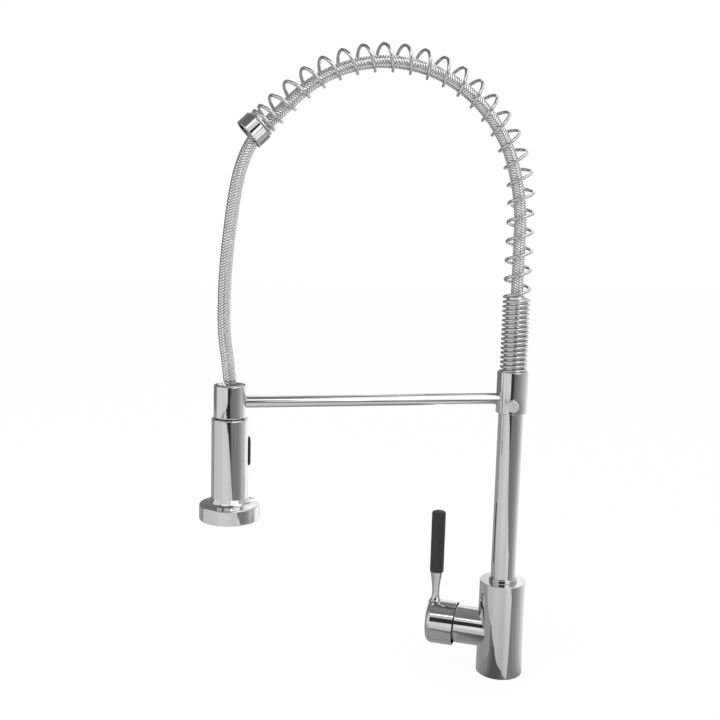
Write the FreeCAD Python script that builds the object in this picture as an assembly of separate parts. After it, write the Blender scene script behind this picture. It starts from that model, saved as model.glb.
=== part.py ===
import FreeCAD, Part
import math
import os

# Spring-neck kitchen tap, in millimetres. Z is up from the worktop, the spout points along -Y.

# Clearances
fit = 0.05
slip = 0.3
play = 0.5
shaft_fit = 0.02
seal_fit = 0.1

# Body that stands on the worktop
body_d = 46.0
body_h = 95.4
edge_round = 0.6
gasket_mid_d = 39.0
gasket_section_d = 1.6
inlet_drill_d = 9.0
inlet_depth = 16.0
inlet_spread = 12.0
stud_drill_d = 6.8
stud_depth = 20.0
stud_forward = 12.0
port_d = 4.8
port_wall = 1.6

# Swivel between body and riser
spigot_bore_d = 14.0
spigot_plug = 16.0
foot_ring_d = 28.0
foot_ring_h = 3.2
washer_sink = 1.6
washer_proud = 0.2
swivel_gap = 0.1
o_ring_section_d = 2.0
o_ring_top_inset = 11.0
o_ring_low_inset = 6.0
groove_h = 3.2
groove_depth = 1.5
keeper_screw_d = 4.0
keeper_sink = 2.0

# Riser, collar and arm
riser_d = 25.0
riser_wall = 2.0
riser_top = 300.0
collar_wall = 2.85
collar_low = 266.4
collar_top = 307.3
arm_z = 280.0
arm_d = 11.2
arm_tip_d = 6.0
arm_shoulder = 0.4
lock_seat = 2.0
lock_turn = 74.0
lock_z = 275.0
lock_head_d = 11.0
lock_head_h = 5.0
lock_shank_d = 5.0

# Spring neck
wire_d = 3.3
spring_d = 27.0
arch_r = 129.7
arch_z = 464.5
arch_sweep = 134.0
arch_tail = 41.5
close_pitch = 4.5
close_turns = 15.8
ramp_turns = 0.4
open_turns = 22.1
end_ramp_turns = 2.0
end_turns = 2.2
spring_seat = 2.2
spring_start = 0.5
guide_gap = 0.4
guide_top = 380.0
guide_flange_h = 3.0
guide_hose_gap = 1.45
guide_plug = 16.0
ferrule_d = 29.6
ferrule_wall = 2.0
ferrule_len = 13.0
ferrule_seat = 6.0

# Hose
hose_d = 12.0
hose_bore_d = 7.0
hose_entry_r = 200.0
hose_tail_len = 12.0
hose_end_run = 34.0
hose_first_run = 11.0
hose_drop_points = ((256.8, 512.9), (263.1, 499.3), (269.2, 478.2), (274.8, 438.0),
                    (278.6, 398.0), (279.6, 362.0), (278.2, 338.0))
hose_last_run = 19.5

# Holder ring at the arm's end
reach = 273.2
holder_d = 30.0
holder_wall = 1.8
holder_low = 265.5
holder_top = 296.0
holder_round = 1.0
liner_wall = 1.0
liner_inset = 0.6
dock_gap = 0.25

# Spray head
head_turn = 10.0
neck_top = 297.0
neck_mouth_d = 16.7
dish_depth = 3.5
neck_thread_d = 20.0
neck_thread_len = 20.0
neck_floor_depth = 3.0
valve_d = 14.8
valve_len = 11.0
valve_bore_d = 3.0
shell_d = 33.8
shell_wall = 2.0
shell_top = 265.0
shell_low = 191.0
shell_roof = 6.0
bell_d = 55.6
bell_side = 14.0
bell_low = 170.0
bell_wall = 1.8
bell_web_drop = 3.5
bell_round = 1.2
flare_out = 2.9
flare_drop = 5.0
flare_round = 4.4
spigot_len = 6.0
face_recess = 1.5
face_t = 3.0
mat_t = 1.5
nozzle_d = 2.2
nozzle_gap = 0.15
nozzle_counts = (8, 14, 20)
nozzle_radii = (13.5, 18.0, 22.5)
aerator_d = 17.0
aerator_flange = 1.5
aerator_rim = 1.6
aerator_dish = 1.2
core_d = 21.8
core_bore_d = 10.0
core_gap = 1.0
spool_len = 34.0
spool_groove = 2.2
finger_d = 2.0
finger_gap = 0.35
finger_reach = 1.6

# Fittings on the hose's lower end
crimp_d = 11.0
crimp_h = 3.0
crimp_top = 299.5
nipple_d = 8.7
nipple_wall = 1.0
nipple_flange_d = 15.2
nipple_flange_h = 3.0
nut_h = 7.6
hose_washer_t = 1.7

# Spray button
button_z = 233.0
button_len = 28.0
button_w = 9.0
button_proud = 2.15
button_t = 4.4
button_pivot_in = 5.45
button_lug_w = 4.0
button_pin_d = 2.0
button_pin_len = 12.4
button_lug_wall = 0.8
button_round = 1.4
ear_wall = 1.5
ear_lip = 0.7
ear_window = 2.5

# Handle, measured out from the body's axis along the handle's own axis
handle_z = 43.0
handle_turn = 29.0
housing_d = 25.0
housing_len = 26.0
housing_floor = 8.0
housing_wall = 1.9
housing_lip_h = 2.0
housing_lip = 1.0
seal_d = 7.4
seal_t = 1.2
socket_web = 6.4
fixed_disc_t = 3.0
moving_disc_d = 12.0
moving_disc_t = 3.95
boss_d = 32.4
boss_end = 36.0
nut_thread_d = 28.4
nut_bore_d = 20.0
nut_dome_r = 19.0
nut_lip_d = 17.0
sleeve_d = 38.0
sleeve_end = 45.5
guide_end = 40.0
nut_stop = 43.0
nut_lip = 1.0
pivot_out = 34.0
pivot_pin_d = 3.0
pivot_pin_len = 17.0
stem_square = 6.0
stem_ball_d = 4.4
stem_ball_arm = 19.4
stem_neck_d = 4.0
stem_rest_tilt = 12.5
stem_out = 36.0
hub_d = 45.0
hub_wall = 1.5
hub_start = 48.0
hub_slant = 3.0
hub_end = 76.4
hub_cavity_end = 60.5
hub_dome_r = 90.0
hub_corner = 6.0
set_screw_d = 5.0
set_screw_len = 8.0
index_plug_d = 7.0
index_plug_sink = 2.0
index_plug_proud = 0.8
lever_out = 67.7
lever_flare_d = 15.0
lever_foot_d = 11.5
lever_ankle_d = 8.9
lever_waist_d = 8.1
lever_middle_d = 8.8
lever_top_d = 13.5
lever_flat = 2.0
lever_sunk = 3.6
lever_grip_d = 14.0
lever_grip_low = 95.5
lever_grip_top = 158.6
lever_tang_d = 6.0
lever_tang_sink = 9.0
lever_tang_gap = 0.5
lever_tang_rise = 24.0

V = FreeCAD.Vector
UP = V(0, 0, 1)

# Sizes that follow from the ones above
body_r = body_d / 2
riser_r = riser_d / 2
riser_in_r = riser_r - riser_wall
collar_r = riser_r + fit + collar_wall
wire_r = wire_d / 2
coil_r = (spring_d - wire_d) / 2
spring_low = collar_top - spring_seat + wire_r + slip
spring_rise = arch_z - spring_low
arch_angle = math.radians(arch_sweep)
spring_len = spring_rise + arch_r * arch_angle + arch_tail + ferrule_seat - wire_r - slip
guide_r = coil_r - wire_r - guide_gap
hose_r = hose_d / 2
guide_bore_r = hose_r + guide_hose_gap
hose_offset = coil_r - wire_r - hose_r - guide_gap
holder_bore_r = holder_d / 2 - holder_wall
neck_r = holder_bore_r - liner_wall - dock_gap
shell_in_r = shell_d / 2 - shell_wall
cavity_r = housing_d / 2 - housing_wall
chamber_r = housing_d / 2 + fit
socket_floor = handle_z + chamber_r + socket_web
spigot_low = socket_floor + slip
flange_low = body_h + washer_proud + swivel_gap
flange_top = flange_low + foot_ring_h
o_ring_heights = (spigot_low + o_ring_low_inset, body_h - o_ring_top_inset)
keeper_z = sum(o_ring_heights) / 2
bell_rim = bell_low + bell_side
face_low = bell_low + face_recess
mat_low = face_low + face_t
nipple_flange_low = shell_top - neck_floor_depth + hose_washer_t + slip
button_pivot = shell_d / 2 - button_pivot_in

handle_out = V(-math.sin(math.radians(handle_turn)), -math.cos(math.radians(handle_turn)), 0)
HANDLE = FreeCAD.Placement(V(0, 0, handle_z), FreeCAD.Rotation(UP, handle_out.cross(UP), handle_out, "ZXY"))


# Helpers

def at(out, height):
    """Point of the arch's plane: out from the riser towards the spout, and height."""
    return V(0, -out, height)


def one_solid(shape):
    """The single solid of a finished shape, without the seams that cuts leave."""
    solids = shape.removeSplitter().Solids
    if len(solids) != 1:
        raise ValueError("expected one solid, found %d" % len(solids))
    return solids[0]


def rod(radius, low, high):
    return Part.makeCylinder(radius, high - low, V(0, 0, low))


def ring(outer, inner, low, high):
    return rod(outer, low, high).cut(rod(inner, low, high))


def cross_rod(radius, start, direction, length):
    return Part.makeCylinder(radius, length, start, direction)


def box(low, high):
    """Block between two corners."""
    return Part.makeBox(high.x - low.x, high.y - low.y, high.z - low.z, low)


def corner_arc(before, corner, after, radius):
    """Start, middle and end of the arc that rounds a corner of a path."""
    back = (before - corner).normalize()
    ahead = (after - corner).normalize()
    half = back.getAngle(ahead) / 2
    inward = (back + ahead).normalize()
    tangent = radius / math.tan(half)
    middle = corner + inward * (radius / math.sin(half) - radius)
    return corner + back * tangent, middle, corner + ahead * tangent


def path_wire(points, radii, closed=False):
    """Straight runs joined by tangent arcs. A radius of 0 leaves the corner sharp."""
    count = len(points)
    corners = []
    for i in range(count):
        if radii[i] > 0:
            corners.append(corner_arc(points[i - 1], points[i], points[(i + 1) % count], radii[i]))
        else:
            corners.append((points[i], None, points[i]))
    edges = []
    for i in range(count):
        start, middle, end = corners[i]
        if middle:
            edges.append(Part.Arc(start, middle, end).toShape())
        following = corners[(i + 1) % count][0]
        if (closed or i < count - 1) and end.distanceToPoint(following) > 1e-6:
            edges.append(Part.LineSegment(end, following).toShape())
    return Part.Wire(edges)


def lathe(*outline):
    """Solid turned about Z from corners of (radius, height) or (radius, height, rounding)."""
    points = [V(corner[0], 0, corner[1]) for corner in outline]
    radii = [corner[2] if len(corner) > 2 else 0 for corner in outline]
    solid = Part.Face(path_wire(points, radii, True)).revolve(V(), UP, 360)
    if solid.Volume < 0:
        solid.reverse()
    return solid


def tube_along(spine, start, direction, radius):
    """Round bar swept along a path of lines and arcs."""
    sweep = Part.BRepOffsetAPI.MakePipeShell(spine)
    sweep.add(Part.Wire(Part.makeCircle(radius, start, direction)))
    sweep.build()
    sweep.makeSolid()
    return sweep.shape()


def on_handle(shape):
    """Moves a piece from the handle's frame, with X up and Z outwards, to its place."""
    shape.Placement = HANDLE * shape.Placement
    return shape


def on_head(shape):
    """Moves a piece from the head's own axis, with the button along +Y, to its place."""
    return shape.rotated(V(), UP, head_turn).translated(at(reach, 0))


# Body and what stays with it

def body():
    shape = lathe((0, 0), (body_r, 0, edge_round), (body_r, body_h, edge_round), (0, body_h))
    boss = on_handle(rod(boss_d / 2, 0, boss_end))
    chamber = on_handle(rod(chamber_r, 0, boss_end))
    thread = on_handle(rod(nut_thread_d / 2 + fit, housing_len, boss_end))
    shape = shape.fuse(boss)
    cuts = [chamber, thread, riser_socket(), gasket_groove(), keeper_hole()]
    return one_solid(shape.cut(cuts + water_ways()))


def riser_socket():
    bore = rod(riser_r + fit, socket_floor, body_h)
    sink = rod(foot_ring_d / 2, body_h - washer_sink, body_h)
    return bore.fuse(sink)


def gasket_groove():
    middle = gasket_mid_d / 2
    half = gasket_section_d / 2 + slip
    return ring(middle + half, middle - half, 0, gasket_section_d + slip)


def keeper_hole():
    return cross_rod(keeper_screw_d / 2 + fit, V(0, riser_r, keeper_z), V(0, 1, 0), body_r)


def ports():
    """Cold, hot and mixed water ports, as (up, sideways) from the cartridge's axis."""
    low = -housing_d * 0.14
    side = inlet_spread / 2
    return ((low, side), (low, -side), (housing_d * 0.28, 0))


def water_ways():
    """Threaded holes under the body, and the drilled ways from them to the cartridge and riser."""
    behind = -(port_wall + port_d / 2)
    cuts = []
    for up, side in ports():
        cuts.append(on_handle(cross_rod(port_d / 2, V(up, side, behind), V(0, 0, 1), -behind)))
    for up, side in ports()[:2]:
        bottom = -handle_z
        cuts.append(on_handle(cross_rod(port_d / 2, V(bottom, side, behind), V(1, 0, 0), handle_z + up)))
        inlet = cross_rod(inlet_drill_d / 2, V(bottom, side, behind), V(1, 0, 0), inlet_depth)
        cuts.append(on_handle(inlet))
    mixed = ports()[2][0]
    rise = socket_floor - handle_z - mixed
    cuts.append(on_handle(cross_rod(port_d / 2, V(mixed, 0, behind), V(1, 0, 0), rise)))
    stud = cross_rod(stud_drill_d / 2, V(-handle_z, 0, stud_forward), V(1, 0, 0), stud_depth)
    cuts.append(on_handle(stud))
    return cuts


def base_gasket():
    return Part.makeTorus(gasket_mid_d / 2, gasket_section_d / 2, V(0, 0, gasket_section_d / 2 + slip / 2))


def swivel_washer():
    return ring(foot_ring_d / 2 - fit, riser_r + fit, body_h - washer_sink, body_h + washer_proud)


def keeper_screw():
    """Grub screw at the back whose tip runs in the spigot's groove."""
    thread_at = riser_r + fit + slip
    tip_at = riser_r - groove_depth + slip
    out = V(0, 1, 0)
    thread = cross_rod(keeper_screw_d / 2, V(0, thread_at, keeper_z), out, body_r - keeper_sink - thread_at)
    tip = cross_rod(groove_h / 2 - slip, V(0, tip_at, keeper_z), out, thread_at - tip_at + slip)
    return one_solid(thread.fuse(tip))


# Swivelling spout: spigot, riser, collar and arm

def swivel_spigot():
    """Turned spigot that the riser stands on. Its flange is the ring at the riser's foot."""
    plug_r = riser_in_r - fit
    plug_top = flange_top + spigot_plug
    bore = spigot_bore_d / 2
    outer = foot_ring_d / 2
    shape = lathe((bore, spigot_low), (riser_r, spigot_low, edge_round), (riser_r, flange_low),
                  (outer, flange_low, edge_round / 2), (outer, flange_top, edge_round),
                  (plug_r, flange_top), (plug_r, plug_top), (bore, plug_top))
    cuts = [ring(body_r, riser_r - groove_depth, keeper_z - groove_h / 2, keeper_z + groove_h / 2)]
    half = o_ring_section_d / 2 + seal_fit
    for middle in o_ring_heights:
        cuts.append(ring(body_r, riser_r - o_ring_section_d - seal_fit, middle - half, middle + half))
    return one_solid(shape.cut(cuts))


def o_rings():
    radius = o_ring_section_d / 2
    return Part.makeCompound([Part.makeTorus(riser_r - radius - fit, radius, UP * height)
                              for height in o_ring_heights])


def riser():
    return one_solid(ring(riser_r, riser_in_r, flange_top, riser_top))


def collar():
    """Collar on the riser's top end, with the sunk seat of the spring."""
    bore = riser_r + fit
    socket = spring_d / 2 + slip
    seat = collar_top - spring_seat
    lip = riser_top + guide_flange_h + fit
    shape = lathe((bore, collar_low), (collar_r, collar_low, edge_round), (collar_r, collar_top, 1.0),
                  (socket, collar_top), (socket, seat), (guide_r + fit, seat), (guide_r + fit, lip),
                  (bore, lip))
    arm_hole = cross_rod(arm_tip_d / 2 + fit, at(riser_r, arm_z), at(1, 0), 2 * collar_wall)
    lock_hole = cross_rod(lock_shank_d / 2 + fit, V(0, 0, lock_z), lock_direction(), 2 * collar_r)
    return one_solid(shape.cut([arm_hole, lock_hole]))


def lock_direction():
    turn = math.radians(lock_turn)
    return V(math.sin(turn), -math.cos(turn), 0)


def lock_screw():
    """Round-headed screw that locks the collar on the riser."""
    out = lock_direction()
    radius = lock_head_d / 2
    top = lock_head_h + lock_seat
    head = lathe((0, 0), (radius, 0), (radius, top, edge_round), (0, top))
    head.Placement = FreeCAD.Placement(out * (collar_r - lock_seat) + UP * lock_z, FreeCAD.Rotation(UP, out))
    shank = cross_rod(lock_shank_d / 2, out * (riser_r + fit) + UP * lock_z, out, collar_wall)
    head = head.cut(rod(collar_r, collar_low, collar_top))
    return one_solid(head.fuse(shank))


def holder_arm():
    """Rod between collar and holder ring, coped at both ends round its tips."""
    bar = cross_rod(arm_d / 2, at(0, arm_z), at(1, 0), reach)
    holder = on_head(rod(holder_d / 2, holder_low, holder_top))
    bar = bar.cut([rod(collar_r, collar_low, collar_top), holder])
    first = riser_r + fit + arm_shoulder
    last = reach - holder_bore_r - arm_shoulder
    tip = cross_rod(arm_tip_d / 2, at(first, arm_z), at(1, 0), last - first)
    return one_solid(bar.fuse(tip))


def holder_ring():
    shape = lathe((holder_bore_r, holder_low), (holder_d / 2, holder_low, 1.5),
                  (holder_d / 2, holder_top, holder_round), (holder_bore_r, holder_top))
    shape = on_head(shape)
    hole = cross_rod(arm_tip_d / 2 + fit, at(reach - holder_d, arm_z), at(1, 0), holder_d)
    return one_solid(shape.cut(hole))


def holder_liner():
    low = holder_low + liner_inset
    high = holder_top - 2 * liner_inset
    return on_head(ring(holder_bore_r - fit, holder_bore_r - liner_wall, low, high))


# Spring neck

def spring_guide():
    """Tube that centres the close turns and carries the hose out of the riser."""
    low = riser_top - guide_plug
    flange = riser_top + guide_flange_h
    plug_r = riser_in_r - fit
    return lathe((guide_bore_r, low), (plug_r, low, 0.5), (plug_r, riser_top), (riser_r, riser_top),
                 (riser_r, flange), (guide_r, flange), (guide_r, guide_top, 1.0), (guide_bore_r, guide_top))


def coil_axis(length):
    """Point on the spring's axis, and the directions outwards from the arch and along the axis."""
    turned = min(max((length - spring_rise) / arch_r, 0), arch_angle)
    angle = math.pi - turned
    outward = at(math.cos(angle), math.sin(angle))
    along = at(math.sin(angle), -math.cos(angle))
    straight = length - spring_rise - turned * arch_r
    return at(arch_r, arch_z) + outward * arch_r + along * straight, outward, along


def open_pitch():
    """Pitch of the open turns, from the length that the close turns and ramps leave."""
    half_ramps = (ramp_turns + end_ramp_turns) / 2
    close = close_pitch * (close_turns + half_ramps + end_turns)
    return (spring_len - close) / (open_turns + half_ramps)


def total_turns():
    return close_turns + ramp_turns + open_turns + end_ramp_turns + end_turns


def pitch_at(turn):
    """Pitch after so many turns: close, opening over a ramp, open, and closing over a longer ramp."""
    opening = (turn - close_turns) / ramp_turns
    closing = (total_turns() - end_turns - turn) / end_ramp_turns
    return close_pitch + (open_pitch() - close_pitch) * min(max(min(opening, closing), 0), 1)


def coil_nodes(step):
    """Points of the wire's middle line and their tangents, a part of a turn apart."""
    nodes = []
    length = 0
    for i in range(round(total_turns() / step) + 1):
        turn = i * step
        axis, outward, along = coil_axis(length)
        side = along.cross(outward)
        angle = 2 * math.pi * (turn + spring_start)
        radial = outward * math.cos(angle) + side * math.sin(angle)
        around = side * math.cos(angle) - outward * math.sin(angle)
        bent = 0 < length - spring_rise < arch_r * arch_angle
        stretch = 1 + coil_r * math.cos(angle) / arch_r if bent else 1
        tangent = around * (2 * math.pi * coil_r) + along * (pitch_at(turn) * stretch)
        nodes.append((axis + radial * coil_r, tangent.normalize()))
        length += (pitch_at(turn) + pitch_at(turn + step)) / 2 * step
    return nodes


def biarc(start, start_dir, end, end_dir):
    """Two tangent arcs from one point and direction to another."""
    chord = end - start
    both = start_dir + end_dir
    curl = 2 * (1 - start_dir.dot(end_dir))
    lean = chord.dot(both)
    reach_out = (math.sqrt(lean * lean + curl * chord.dot(chord)) - lean) / curl
    first = start + start_dir * reach_out
    second = end - end_dir * reach_out
    joint = (first + second) * 0.5
    edges = []
    for a, apex, b in ((start, first, joint), (joint, second, end)):
        middle = (a + b) * 0.5
        weight = (b - a).Length / 2 / reach_out
        edges.append(Part.Arc(a, (middle + apex * weight) * (1 / (1 + weight)), b).toShape())
    return edges


def spring():
    """One wire: close turns on the collar, open turns round the arch, close turns in the ferrule."""
    nodes = coil_nodes(0.5)
    edges = []
    for (start, start_dir), (end, end_dir) in zip(nodes, nodes[1:]):
        edges += biarc(start, start_dir, end, end_dir)
    first, first_dir = nodes[0]
    last, last_dir = nodes[-1]
    tail = first - first_dir * wire_r
    edges.insert(0, Part.LineSegment(tail, first).toShape())
    edges.append(Part.LineSegment(last, last + last_dir * wire_r).toShape())
    print("spring: least gap between turns %.2f mm" % coil_gap())
    return tube_along(Part.Wire(edges), tail, first_dir, wire_r)


def coil_gap():
    """Least space between the wire and itself, on points a twentieth of a turn apart."""
    points = [point for point, _ in coil_nodes(0.05)]
    least = spring_len
    for i, point in enumerate(points):
        for other in points[i + 12:i + 32]:
            least = min(least, point.distanceToPoint(other))
    return least - wire_d


def arch_end_frame(placed):
    """A piece turned along Z, moved to the straight end of the arch and along it."""
    axis, _, along = coil_axis(spring_rise + arch_r * arch_angle)
    placed.Placement = FreeCAD.Placement(axis, FreeCAD.Rotation(UP, along)) * placed.Placement
    return placed


def spring_ferrule():
    """Cap ring on the spring's far end. The last turns sit in its counterbore."""
    low = arch_tail
    seat = arch_tail + ferrule_seat
    high = arch_tail + ferrule_len
    outer = ferrule_d / 2
    bore = outer - ferrule_wall
    socket = spring_d / 2 + slip
    return arch_end_frame(lathe((socket, low), (outer, low, 0.4), (outer, high, 0.8), (bore, high, 0.4),
                                (bore, seat), (socket, seat)))


# Hose

def hose_arch_frame():
    """Where the hose leaves the straight, enters its arc, and ends in the ferrule."""
    hose_arc_r = arch_r - hose_offset
    start_drop = math.sqrt(hose_offset * (2 * hose_entry_r - 2 * arch_r + hose_offset))
    entry_turn = math.atan2(start_drop, hose_entry_r - arch_r)
    return hose_arc_r, start_drop, entry_turn


def hose_run_end():
    """Point and direction where the held hose ends and the free drop begins."""
    axis, outward, along = coil_axis(spring_rise + arch_r * arch_angle)
    return axis - outward * hose_offset + along * hose_end_run, along


def hose_arch():
    """Hose held by the guide and the spring: straight up, then round the inside of the arch."""
    arc_r, drop, turn = hose_arch_frame()
    centre = at(arch_r, arch_z)
    entry = at(hose_entry_r, arch_z - drop)

    def on_arc(middle, radius, angle):
        return middle + at(-math.cos(angle) * radius, math.sin(angle) * radius)

    start = at(0, riser_top - hose_tail_len / 2)
    bend = at(0, arch_z - drop)
    joint = on_arc(entry, hose_entry_r, turn)
    top_end = on_arc(centre, arc_r, arch_angle)
    edges = [Part.LineSegment(start, bend).toShape(),
             Part.Arc(bend, on_arc(entry, hose_entry_r, turn / 2), joint).toShape(),
             Part.Arc(joint, on_arc(centre, arc_r, (turn + arch_angle) / 2), top_end).toShape(),
             Part.LineSegment(top_end, hose_run_end()[0]).toShape()]
    wire = Part.Wire(edges)
    return one_solid(tube_along(wire, start, UP, hose_r).cut(tube_along(wire, start, UP, hose_bore_d / 2)))


def hose_tail():
    """Crimped tail that joins the hose to the riser inside the guide."""
    top = riser_top - hose_tail_len / 2
    bore = hose_bore_d / 2
    return ring(guide_bore_r - fit, bore, top - hose_tail_len / 2, top)


def hose_drop():
    """Free length of hose from the ferrule down to the spray head."""
    start, along = hose_run_end()
    points = [start, start + along * hose_first_run]
    points += [at(*point) for point in hose_drop_points]
    points += [at(reach, crimp_top + hose_last_run), at(reach, crimp_top)]
    radii = [0] * len(points)
    for i in range(1, len(points) - 1):
        before = points[i - 1] - points[i]
        after = points[i + 1] - points[i]
        half_turn = (math.pi - before.getAngle(after)) / 2
        radii[i] = 0.45 * min(before.Length, after.Length) / math.tan(half_turn)
    wire = path_wire(points, radii)
    solid = tube_along(wire, start, along, hose_r)
    print("hose drop: bend radii", ", ".join("%.0f" % radius for radius in radii[1:-1]))
    section = math.pi * hose_r ** 2
    print("hose drop: length %.1f mm, volume / (section x length) %.4f"
          % (wire.Length, solid.Volume / (section * wire.Length)))
    bore = tube_along(wire, start, along, hose_bore_d / 2)
    return one_solid(solid.cut(bore))


def hose_crimp():
    return on_head(lathe((hose_bore_d / 2, crimp_top - crimp_h), (crimp_d / 2, crimp_top - crimp_h, 0.4),
                         (crimp_d / 2, crimp_top), (hose_bore_d / 2, crimp_top)))


def hose_nipple():
    """Turned nipple below the crimp. Its flange hangs under the swivel nut in the head's neck."""
    bore = hose_bore_d / 2 - nipple_wall
    low = nipple_flange_low
    shoulder = low + nipple_flange_h
    top = crimp_top - crimp_h
    return on_head(lathe((bore, low), (nipple_flange_d / 2, low), (nipple_flange_d / 2, shoulder),
                         (nipple_d / 2, shoulder), (nipple_d / 2, top), (bore, top)))


# Spray head

def head_neck():
    """Neck that docks in the holder ring: dished mouth, hose socket and check valve chamber."""
    mouth = neck_mouth_d / 2
    floor = shell_top - neck_floor_depth
    valve = valve_d / 2 + fit
    low = shell_top - neck_thread_len
    valve_top = low + valve_len + play
    water = hose_bore_d / 2
    thread = neck_thread_d / 2
    return on_head(lathe((valve, low), (thread, low), (thread, shell_top), (neck_r, shell_top, 0.5),
                         (neck_r, neck_top, 0.4), (mouth, neck_top - dish_depth), (mouth, floor),
                         (water, floor), (water, valve_top), (valve, valve_top)))


def hose_washer():
    floor = shell_top - neck_floor_depth
    return on_head(ring(nipple_flange_d / 2 - slip, hose_bore_d / 2, floor, floor + hose_washer_t))


def swivel_nut():
    """Nut in the neck's mouth that keeps the nipple in and lets the head turn on it."""
    low = nipple_flange_low + nipple_flange_h + slip
    return on_head(ring(neck_mouth_d / 2 - fit, nipple_d / 2 + fit, low, low + nut_h))


def check_valve():
    low = shell_top - neck_thread_len
    high = low + valve_len
    bore = valve_bore_d / 2
    outer = valve_d / 2
    return on_head(lathe((bore, low), (outer, low, edge_round), (outer, high, valve_bore_d), (bore, high)))


def button_window():
    """Rounded slot through the shell's wall for the button and its swing."""
    half_w = button_w / 2 + play
    half_len = button_len / 2 + 2 * play
    straight = half_len - half_w
    out = V(0, 1, 0)
    cut = box(V(-half_w, 0, button_z - straight), V(half_w, shell_d, button_z + straight))
    for end in (-straight, straight):
        cut = cut.fuse(cross_rod(half_w, V(0, 0, button_z + end), out, shell_d))
    return cut


def head_shell():
    roof = shell_top - shell_roof
    hole = neck_thread_d / 2 + fit
    shape = lathe((shell_in_r, shell_low), (shell_d / 2, shell_low), (shell_d / 2, shell_top, 1.2),
                  (hole, shell_top), (hole, roof), (shell_in_r, roof, 2.0))
    return on_head(one_solid(shape.cut(button_window())))


def head_bell():
    """Bell below the shell: concave flare, sloping top and upright rim round the spray face."""
    outer = bell_d / 2
    neck = shell_d / 2
    inner = outer - bell_wall
    web = bell_rim - bell_web_drop
    bore = core_d / 2 + fit
    spigot = shell_in_r - fit
    spigot_top = shell_low + spigot_len
    flare = (neck + flare_out, shell_low - flare_drop, flare_round)
    return on_head(lathe((bore, web), (inner, web), (inner, bell_low, edge_round),
                         (outer, bell_low, bell_round), (outer, bell_rim, bell_round), flare,
                         (neck, shell_low), (spigot, shell_low), (spigot, spigot_top), (bore, spigot_top)))


def nozzle_places():
    for count, radius in zip(nozzle_counts, nozzle_radii):
        for i in range(count):
            angle = 2 * math.pi * i / count
            yield V(radius * math.cos(angle), radius * math.sin(angle), 0)


def spray_face():
    outer = bell_d / 2 - bell_wall - fit
    shape = ring(outer, aerator_d / 2 + fit, face_low, mat_low)
    hole_r = nozzle_d / 2 + nozzle_gap
    holes = [cross_rod(hole_r, place + UP * face_low, UP, face_t) for place in nozzle_places()]
    return on_head(one_solid(shape.cut(holes)))


def nozzle_mat():
    """Rubber mat behind the face, with a nozzle through each hole."""
    outer = bell_d / 2 - bell_wall - slip
    shape = ring(outer, aerator_d / 2 + fit, mat_low, mat_low + mat_t)
    rise = face_t + face_recess / 2
    nozzles = [Part.makeCone(nozzle_d / 2, nozzle_d / 3, rise, place + UP * mat_low, -UP)
               for place in nozzle_places()]
    return on_head(one_solid(shape.fuse(nozzles)))


def aerator():
    radius = aerator_d / 2
    top = mat_low + mat_t + aerator_flange
    low = face_low - face_recess / 3
    inner = radius - aerator_rim
    dish = low + aerator_dish
    return on_head(lathe((0, dish), (inner, dish), (inner, low), (radius, low, 0.4),
                         (radius, mat_low + mat_t), (radius + aerator_flange, mat_low + mat_t),
                         (radius + aerator_flange, top), (0, top)))


def water_core():
    """Plastic core that carries water from the neck to the bell, with ears for the button's pin."""
    low = bell_rim - bell_web_drop + core_gap
    high = shell_top - neck_thread_len
    shape = rod(core_d / 2, low, high)
    half_ear = button_pin_d / 2 + ear_wall
    half_window = half_ear + ear_window
    for side in (-1, 1):
        near = (button_lug_w / 2 + slip) * side
        far = button_pin_len / 2 * side
        corner = V(min(near, far), core_d / 4, button_z - half_ear)
        opposite = V(max(near, far), button_pivot + button_pin_d / 2 + ear_lip, button_z + half_ear)
        shape = shape.fuse(box(corner, opposite))
    half_w = button_lug_w / 2 + slip
    window = box(V(-half_w, 0, button_z - half_window), V(half_w, core_d, button_z + half_window))
    bore = rod(core_bore_d / 2, low, high)
    pin = cross_rod(button_pin_d / 2 + shaft_fit, V(-core_d, button_pivot, button_z), V(1, 0, 0), 2 * core_d)
    return on_head(one_solid(shape.cut([window, bore, pin])))


def diverter_spool():
    """Sliding valve in the core. The button's finger sits in its groove."""
    radius = core_bore_d / 2 - seal_fit
    half = finger_d / 2 + finger_gap
    groove = ring(core_d, radius - spool_groove, button_z - half, button_z + half)
    spool = rod(radius, button_z - spool_len * 0.75, button_z + spool_len / 4)
    bore = rod(radius / 3, button_z - spool_len, button_z + spool_len)
    return on_head(one_solid(spool.cut([groove, bore])))


def button_pin():
    start = V(-button_pin_len / 2, button_pivot, button_z)
    return on_head(cross_rod(button_pin_d / 2, start, V(1, 0, 0), button_pin_len))


def spray_button():
    """Long rocker on the side towards the riser, with its pivot lug and finger."""
    half_w = button_w / 2
    straight = button_len / 2 - half_w
    out = V(0, 1, 0)
    face = shell_d / 2 + button_proud
    back = face - button_t
    pad = box(V(-half_w, back, button_z - straight), V(half_w, face, button_z + straight))
    for end in (-straight, straight):
        pad = pad.fuse(cross_rod(half_w, V(0, back, button_z + end), out, button_t))
    pad = one_solid(pad)
    rim = [edge for edge in pad.Edges if abs(edge.BoundBox.YMin - face) < 1e-6]
    pad = pad.makeFillet(button_round, rim)
    half_lug = button_lug_w / 2
    lug_r = button_pin_d / 2 + button_lug_wall
    lug_low = V(-half_lug, button_pivot - lug_r, button_z - lug_r)
    lug = box(lug_low, V(half_lug, back + play, button_z + lug_r))
    tip = core_bore_d / 2 - finger_reach
    finger = cross_rod(finger_d / 2, V(0, tip, button_z), out, button_pivot - tip)
    hole = cross_rod(button_pin_d / 2 + fit, V(-half_w, button_pivot, button_z), V(1, 0, 0), button_w)
    return on_head(one_solid(pad.fuse([lug, finger]).cut(hole)))


# Handle and cartridge

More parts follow.
